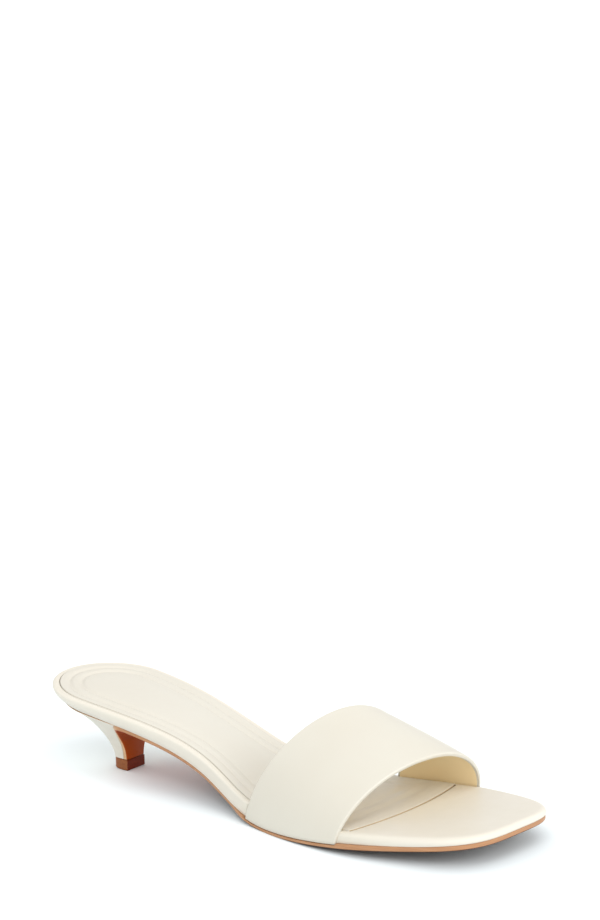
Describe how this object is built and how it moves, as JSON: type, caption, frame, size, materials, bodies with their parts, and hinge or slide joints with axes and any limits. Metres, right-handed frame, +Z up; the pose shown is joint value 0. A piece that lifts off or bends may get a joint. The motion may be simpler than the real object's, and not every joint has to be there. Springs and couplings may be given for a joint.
{
  "type": "kitten heel mule",
  "caption": "Leather slide mule with a wide vamp strap, a squared toe, a padded sock and a low comma heel; right shoe.",
  "frame": {"origin": "centre of the shoe's bounding box in plan, on the floor that it stands on", "axes": "+X from the heel towards the toe, +Y towards the inner (big toe) side, +Z up"},
  "size_m": [0.2484, 0.0846, 0.0486],
  "materials": {
    "upper_leather": "smooth nappa, soft satin",
    "sock_leather": "smooth padded lining leather, satin",
    "sole_leather": "veg-tanned leather, polished edge",
    "heel_tip_rubber": "dense brown top-piece rubber, semi-matte"
  },
  "bodies": {
    "root": {"outsole": "sole_leather", "footbed": "upper_leather", "sock": "sock_leather", "strap": "upper_leather", "heel": "upper_leather", "top_piece": "heel_tip_rubber"}
  },
  "joints": []
}
